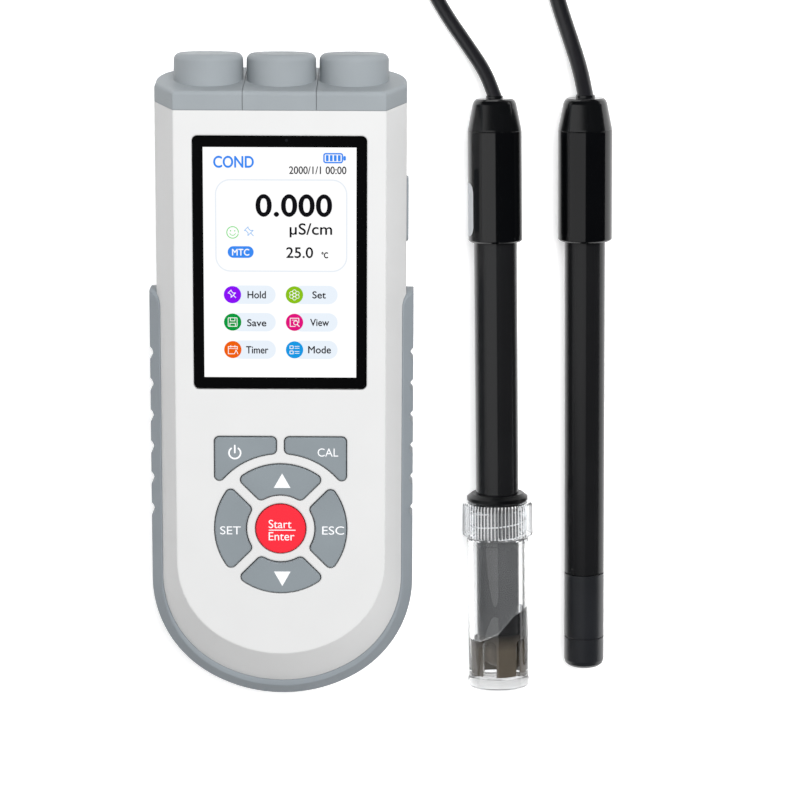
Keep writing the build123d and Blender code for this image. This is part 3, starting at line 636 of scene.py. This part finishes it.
KEY_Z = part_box("key_up")[1].z + 0.00003
power = frame_shapes(arc(-13.3, -15.8, 1.93, 122, 418, 32), arc(-13.3, -15.8, 1.47, 122, 418, 32))[:-1]
power.append(rounded(-13.53, -15.93, -13.07, -13.37, 0.2, 4))
legend("key_power", "legend_power", sheet_mesh("legend_power", power, KEY_Z))
legend("key_cal", "legend_cal", lettering("legend_cal", "CAL", (10.9, -16.8, 16.9, -14.35), KEY_Z))
up = [(-1.95, -26.2), (2.95, -26.2), (0.5, -21.9)]
down = [(-2.0, -51.4), (0.45, -55.8), (2.9, -51.4)]
legend("key_up", "legend_up", sheet_mesh("legend_up", [up], KEY_Z))
legend("key_down", "legend_down", sheet_mesh("legend_down", [down], KEY_Z))
legend("key_set", "legend_set", lettering("legend_set", "SET", (-17.75, -40.25, -11.7, -37.8), KEY_Z))
legend("key_escape", "legend_escape", lettering("legend_escape", "ESC", (12.2, -40.2, 18.65, -37.7), KEY_Z))
start = [lettering("start_word", "Start", (-3.5, -38.3, 3.2, -35.8), KEY_Z),
         lettering("enter_word", "Enter", (-3.5, -42.0, 4.05, -39.5), KEY_Z),
         sheet_mesh("start_line", [rounded(-3.5, -39.03, 4.4, -38.77, 0.12, 4)], KEY_Z)]
legend("key_start", "legend_start", joined("legend_start", start))


# ---------------------------------------------------------------- along an electrode
def laid(point, direction):
    """A frame whose Y runs along an electrode, with its origin where the axis crosses Y = 0."""
    d = Vector(direction).normalized()
    at = Vector(point) - d * (point[1] / d.y)
    yaw = atan2(-d.x, d.y)
    pitch = atan2(d.z, hypot(d.x, d.y))
    return Matrix.Translation(at) @ Matrix.Rotation(yaw, 4, "Z") @ Matrix.Rotation(pitch, 4, "X")


turning = joints["storage_cap_turn"]
PH = laid(turning["pos_m"], turning["axis"])


def around(rows, place, segments, paint):
    """A mesh from rings; each ring is a function of the angle, giving (radius, y) in millimetres.
    Angle 0 is up, and a quarter turn is to the right. paint picks the material of row k at step i."""
    made = bmesh.new()
    rings = []
    for row in rows:
        ring = []
        for i in range(segments):
            a = 2 * pi * i / segments
            r, y = row(a)
            ring.append(made.verts.new(place @ Vector((r * sin(a) * MM, y * MM, r * cos(a) * MM))))
        rings.append(ring)
    for k, (lower, upper) in enumerate(zip(rings, rings[1:])):
        for i in range(segments):
            j = (i + 1) % segments
            face = made.faces.new((lower[i], lower[j], upper[j], upper[i]))
            face.material_index = paint(k, i)
            face.smooth = True
    return made, rings


def cap_end(made, ring, facing):
    """Closes a ring with one face that points along facing."""
    face = made.faces.new(ring)
    face.normal_update()
    if face.normal.dot(facing) < 0:
        face.normal_flip()
    return face


def as_mesh(name, made):
    mesh = bpy.data.meshes.new(name)
    made.to_mesh(mesh)
    made.free()
    mesh.set_sharp_from_angle(angle=radians(25))
    return mesh


# blank label on the side of the handle
label = bmesh.new()
LABEL_R = 8.05 + 0.04
LABEL_Y = (45.6, 61.4)
LABEL_ANGLE = (-130.0, -55.0)
across = radians(LABEL_ANGLE[1] - LABEL_ANGLE[0]) * LABEL_R
outline = rounded(0, LABEL_Y[0], across, LABEL_Y[1], 2.6, 8)
grid = []
for i in range(25):
    u = across * i / 24
    inset = max(0.0, 2.6 - u, u - (across - 2.6))
    drop = 2.6 - (max(0.0, 2.6 ** 2 - inset ** 2)) ** 0.5
    a = radians(LABEL_ANGLE[0]) + u / LABEL_R
    grid.append([label.verts.new(PH @ Vector((LABEL_R * sin(a) * MM, y * MM, LABEL_R * cos(a) * MM)))
                 for y in (LABEL_Y[0] + drop, LABEL_Y[1] - drop)])
for left, right in zip(grid, grid[1:]):
    face = label.faces.new((left[0], right[0], right[1], left[1]))
    face.smooth = True
piece("blank_label", as_mesh("blank_label", label), "ph_electrode", "probe_black", PAPER)


# ---------------------------------------------------------------- storage bottle
def reach(node):
    """How far a node goes along the electrode, in millimetres."""
    ys = [(PH_BACK @ v.co).y / MM for v in nodes[node].data.vertices]
    return min(ys), max(ys)


PH_BACK = PH.inverted()
bottle_low, bottle_high = reach("storage_bottle")
cap_low, cap_high = reach("storage_cap")
FLOOR = bottle_low + 2.9
LIP, WALL_R, BORE, NECK = 9.25, 9.05, 7.6, 8.3
SEGMENTS = 144


def liquid_line(a):
    """Where the liquid meets the wall: drawn up on one side by the narrow gap."""
    x = 8.0 * sin(a)
    points = [(-8.0, -76.8), (-5.7, -76.6), (-2.9, -75.1), (-0.3, -73.9), (1.9, -71.7), (4.0, -69.4),
              (5.0, -68.5), (6.8, -67.8), (8.0, -66.9)]
    for (x0, y0), (x1, y1) in zip(points, points[1:]):
        if x <= x1:
            return y0 + (y1 - y0) * (x - x0) / (x1 - x0)
    return points[-1][1]


CLEAR = clear_solid("bottle_clear", 1.49)
HAZED = clear_solid("bottle_hazed", 1.49, veil=0.085)
WETTED = clear_solid("bottle_wetted", 1.49 / 1.33)
MENISCUS = thin_clear("liquid_top", 0.03, gloss=0.3)


def level_ring(r, y):
    return lambda a: (r, y)


outside = [level_ring(r, y) for r, y in (
    (8.5, bottle_low), (9.0, bottle_low + 0.15), (LIP, bottle_low + 0.6), (LIP, FLOOR - 0.4),
    (9.15, FLOOR - 0.1), (WALL_R, FLOOR + 0.3), (WALL_R, -68.0), (WALL_R, cap_low - 2.2),
    (LIP, cap_low - 1.8), (LIP, cap_low - 0.9),
    (9.05, cap_low - 0.6), (NECK, cap_low - 0.4), (NECK, bottle_high - 0.3), (NECK - 0.3, bottle_high),
    (BORE + 0.2, bottle_high), (BORE, bottle_high - 0.2))]
inside = [lambda a, t=t: (BORE, bottle_high - 0.2 + (liquid_line(a) - bottle_high + 0.2) * t)
          for t in (0.3, 0.65, 1.0)]
wet = [lambda a, t=t: (BORE, liquid_line(a) + (FLOOR + 0.8 - liquid_line(a)) * t)
       for t in (0.35, 0.7, 1.0)]
wet += [level_ring(BORE - 0.25, FLOOR + 0.22), level_ring(BORE - 0.8, FLOOR)]
dry = len(outside) - 1
made, rings = around(outside + inside + wet, PH, SEGMENTS,
                     lambda k, i: 0 if k < dry else 1 if k < dry + len(inside) else 2)
toward_tip = PH.to_3x3() @ Vector((0, -1, 0))
cap_end(made, rings[0], toward_tip)
cap_end(made, rings[-1], -toward_tip).material_index = 2
bottle = piece("bottle", as_mesh("bottle", made), "storage_bottle", "clear_plastic", CLEAR, HAZED, WETTED)
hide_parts("storage_bottle")


def sag(r, depth):
    return lambda a: (r, liquid_line(a) - depth)


SURFACE_RINGS = ((BORE, 0.0), (7.4, 0.3), (7.0, 0.42), (6.6, 0.3), (6.45, 0.0), (3.3, 0.5))
made, rings = around([sag(r, depth) for r, depth in SURFACE_RINGS], PH, SEGMENTS, lambda k, i: 0)
liquid = piece("liquid_surface", as_mesh("liquid_surface", made), "storage_bottle", "solution", MENISCUS)
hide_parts("storage_solution")


def helix(name, r, start, rise, turns, width, body, material, material_slot):
    """A thread ridge: a triangular band that winds up the axis."""
    made = bmesh.new()
    rows = []
    for i in range(int(72 * turns) + 1):
        a = 2 * pi * i / 72
        y = start + rise * i / 72
        rows.append([made.verts.new(PH @ Vector((q * sin(a) * MM, (y + dy) * MM, q * cos(a) * MM)))
                     for q, dy in ((r, -width / 2), (r + 0.3, 0.0), (r, width / 2))])
    for lower, upper in zip(rows, rows[1:]):
        for k in (0, 1):
            face = made.faces.new((lower[k], upper[k], upper[k + 1], lower[k + 1]))
            face.smooth = True
    piece(name, as_mesh(name, made), body, material_slot, material)


# The clear thread ridge is painted near-white all over: a painted highlight for the bright lines it shows
# through the cap.
PAINTED_THREAD_HIGHLIGHT = thin_clear("thread_painted_highlight", 0.98, (0.98, 0.98, 0.98))
helix("bottle_thread", NECK, cap_low - 0.3, 4.1, 1.95, 0.46, "storage_bottle", PAINTED_THREAD_HIGHLIGHT, "clear_plastic")


# ---------------------------------------------------------------- ribbed cap
RIBS = 60
CAP_R = 10.55
STEPS = 6


def ribbed(r, y, depth):
    return lambda a: (r - depth * (0.5 - 0.5 * cos(RIBS * a)) ** 0.7, y)


# The rib crests and the two rim edges of the clear cap take a thick near-white veil. This is a painted
# highlight for the bright ribs, laid over the faint haze that the grooves keep.
PAINTED_CREST_HIGHLIGHT = thin_clear("cap_crest_painted_highlight", 0.58, (0.97, 0.97, 0.98))
GROOVE = thin_clear("cap_groove", 0.05, (0.97, 0.97, 0.98), (0.95, 0.96, 0.97), 0.6)
INNER = thin_clear("cap_inside", 0.03, gloss=0.3)
rows = [ribbed(r, y, d) for r, y, d in (
    (6.6, cap_high - 0.02, 0), (9.6, cap_high - 0.02, 0), (10.0, cap_high - 0.15, 0.05),
    (10.3, cap_high - 0.7, 0.25),
    (10.45, cap_high - 1.5, 0.5), (CAP_R, cap_low + 1.2, 0.5), (CAP_R, cap_low + 0.6, 0.3),
    (10.45, cap_low + 0.25, 0.0), (10.1, cap_low + 0.02, 0), (8.95, cap_low + 0.02, 0),
    (8.8, cap_low + 0.4, 0),
    (8.8, cap_high - 2.3, 0), (6.6, cap_high - 2.2, 0), (6.6, cap_high - 0.02, 0))]


def cap_paint(k, i):
    # Crest faces and the rim edges take the painted highlight (0); grooves, the flat top and the flat
    # bottom take the faint haze (1); the inside takes 2.
    if k > 8:
        return 2
    if 2 <= k <= 6:
        return 1 if i % STEPS in (1, 2, 3, 4) else 0
    return 0 if k in (1, 7) else 1


made, rings = around(rows, PH, RIBS * STEPS, cap_paint)
cap = piece("ribbed_cap", as_mesh("ribbed_cap", made), "storage_cap", "clear_plastic", PAINTED_CREST_HIGHLIGHT, GROOVE, INNER)
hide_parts("storage_cap")


# ---------------------------------------------------------------- floor and light
FLOOR_GLOW = 0.4


def floor_material():
    """A white table lit a little from inside, as product tables are, so that shadows stay faint."""
    made, out, add, link = node_material("white_table")
    shade = add("BsdfDiffuse")
    patches = grain(add, link, 8)
    link(tint(add, link, patches, (0.935, 0.935, 0.938), (0.95, 0.95, 0.95)), shade.inputs["Color"])
    ray = add("LightPath")
    seen = add("Math", operation="MULTIPLY_ADD")
    seen.inputs[1].default_value = -FLOOR_GLOW
    seen.inputs[2].default_value = FLOOR_GLOW
    link(ray.outputs["Is Diffuse Ray"], seen.inputs[0])
    glow = add("Emission")
    link(seen.outputs["Value"], glow.inputs["Strength"])
    both = add("AddShader")
    link(shade.outputs["BSDF"], both.inputs[0])
    link(glow.outputs["Emission"], both.inputs[1])
    link(both.outputs["Shader"], out.inputs["Surface"])
    return made


FAR = 4000
table = [(-FAR, -FAR), (FAR, -FAR), (FAR, FAR), (-FAR, FAR)]
floor = bpy.data.objects.new("floor", sheet_mesh("floor", [table], 0.0))
bpy.context.scene.collection.objects.link(floor)
floor.data.materials.append(floor_material())


def panel(name, at, aim, size, radiance):
    """A soft light of that radiance, facing its aim."""
    light = bpy.data.lights.new(name, "AREA")
    light.shape = "RECTANGLE"
    light.size, light.size_y = size
    light.energy = radiance * pi * size[0] * size[1]
    lamp = bpy.data.objects.new(name, light)
    lamp.location = at
    lamp.rotation_euler = (Vector(aim) - Vector(at)).to_track_quat("-Z", "Y").to_euler()
    bpy.context.scene.collection.objects.link(lamp)
    return lamp


key_light = panel("key_light", (0.29, 0.50, 1.25), (0.03, 0.0, 0.0), (1.1, 1.1), 6.7)
key_light.visible_glossy = False
key_light.visible_transmission = False
strip = panel("strip_light", (-0.43, 0.05, 0.62), (0.077, 0.0, 0.0), (0.56, 1.3), 1.0)
strip.visible_diffuse = False
strip.visible_transmission = False

world = bpy.data.worlds.new("studio")
bpy.context.scene.world = world
world.use_nodes = True
world.node_tree.nodes["Background"].inputs["Color"].default_value = (1, 1, 1, 1)
world.node_tree.nodes["Background"].inputs["Strength"].default_value = 0.33
world.cycles_visibility.glossy = False
